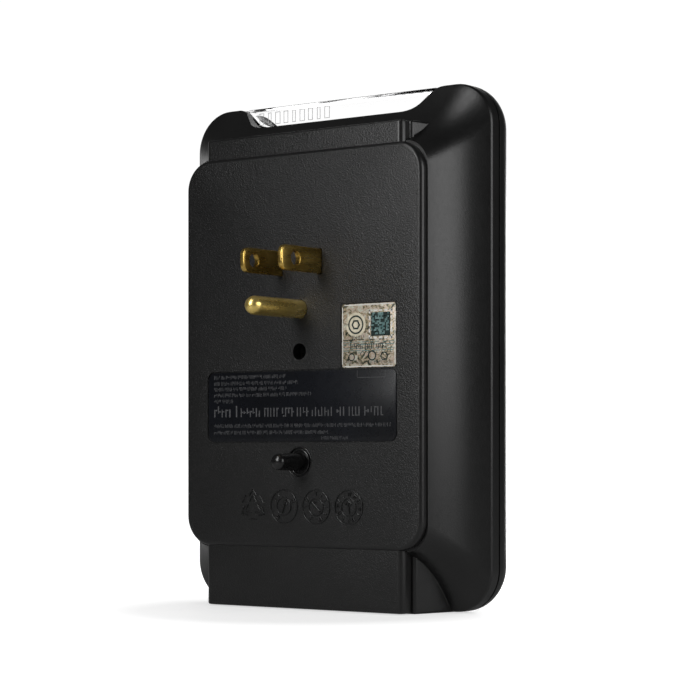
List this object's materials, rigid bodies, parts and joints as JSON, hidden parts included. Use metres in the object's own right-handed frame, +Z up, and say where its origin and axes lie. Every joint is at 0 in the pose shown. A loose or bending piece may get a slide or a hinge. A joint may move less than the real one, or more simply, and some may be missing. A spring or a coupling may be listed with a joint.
{
  "type": "plug-in surge protector",
  "caption": "Plug-in wall-tap surge protector: charcoal case with a grounded plug on the back, outlets on the front and a clear status bar along its top edge.",
  "frame": {"origin": "on the flat rear plate that meets the wall, midway between the two plug blades", "axes": "+Y out of the rear plate towards the wall, along the plug blades; +Z up, towards the clear status bar; +X to the right for someone facing the outlets"},
  "size_m": [0.0954, 0.0506, 0.1325],
  "materials": {
    "case": "fine-grained charcoal plastic, satin on the flanks",
    "front_case": "satin charcoal plastic",
    "lens": "polished clear plastic",
    "plug_brass": "bright brass, lightly tarnished",
    "peg": "smooth black plastic",
    "label": "glossy black film",
    "sticker": "mottled silvery foil film",
    "carrier": "grey moulded insulator",
    "screw": "zinc plated",
    "bus": "stamped strip",
    "board": "green board",
    "varistor": "blue coated disc",
    "fuse": "white body",
    "capacitor": "yellow box",
    "resistor": "tan coated body",
    "lamp": "clear green",
    "lead_black": "insulated wire",
    "lead_white": "insulated wire",
    "lead_green": "insulated wire",
    "shutter": "smooth moulded plastic",
    "spring": "spring strip"
  },
  "bodies": {
    "case": {"rear_cover": "case", "front_cover": "front_case", "status_lens": "lens", "line_blade": "plug_brass", "neutral_blade": "plug_brass", "ground_pin": "plug_brass", "alignment_peg": "peg", "rating_label": "label", "security_sticker": "sticker", "blade_carrier": "carrier", "carrier_screw_1": "screw", "carrier_screw_2": "screw", "screw_sleeve": "case", "line_bus": "bus", "neutral_bus": "bus", "ground_bus": "bus", "circuit_board": "board", "varistor_1": "varistor", "varistor_2": "varistor", "varistor_3": "varistor", "thermal_fuse": "fuse", "film_capacitor": "capacitor", "resistor_1": "resistor", "resistor_2": "resistor", "status_led_1": "lamp", "status_led_2": "lamp", "line_lead": "lead_black", "neutral_lead": "lead_white", "ground_lead": "lead_green", "shutter_spring_1": "spring", "shutter_spring_2": "spring", "shutter_spring_3": "spring", "shutter_spring_4": "spring", "shutter_spring_5": "spring", "shutter_spring_6": "spring"},
    "shutter_body_1": {"shutter_1": "shutter"},
    "shutter_body_2": {"shutter_2": "shutter"},
    "shutter_body_3": {"shutter_3": "shutter"},
    "shutter_body_4": {"shutter_4": "shutter"},
    "shutter_body_5": {"shutter_5": "shutter"},
    "shutter_body_6": {"shutter_6": "shutter"}
  },
  "joints": [
    {"name": "shutter_slide_1", "type": "slide", "parent": "case", "child": "shutter_body_1", "axis": [-1, 0, 0], "range_m": [0, 0.0034], "stiffness_N_per_m": 40, "springref_m": -0.002, "deforming": ["shutter_spring_1"]},
    {"name": "shutter_slide_2", "type": "slide", "parent": "case", "child": "shutter_body_2", "axis": [-1, 0, 0], "range_m": [0, 0.0034], "stiffness_N_per_m": 40, "springref_m": -0.002, "deforming": ["shutter_spring_2"]},
    {"name": "shutter_slide_3", "type": "slide", "parent": "case", "child": "shutter_body_3", "axis": [-1, 0, 0], "range_m": [0, 0.0034], "stiffness_N_per_m": 40, "springref_m": -0.002, "deforming": ["shutter_spring_3"]},
    {"name": "shutter_slide_4", "type": "slide", "parent": "case", "child": "shutter_body_4", "axis": [-1, 0, 0], "range_m": [0, 0.0034], "stiffness_N_per_m": 40, "springref_m": -0.002, "deforming": ["shutter_spring_4"]},
    {"name": "shutter_slide_5", "type": "slide", "parent": "case", "child": "shutter_body_5", "axis": [-1, 0, 0], "range_m": [0, 0.0034], "stiffness_N_per_m": 40, "springref_m": -0.002, "deforming": ["shutter_spring_5"]},
    {"name": "shutter_slide_6", "type": "slide", "parent": "case", "child": "shutter_body_6", "axis": [-1, 0, 0], "range_m": [0, 0.0034], "stiffness_N_per_m": 40, "springref_m": -0.002, "deforming": ["shutter_spring_6"]}
  ]
}
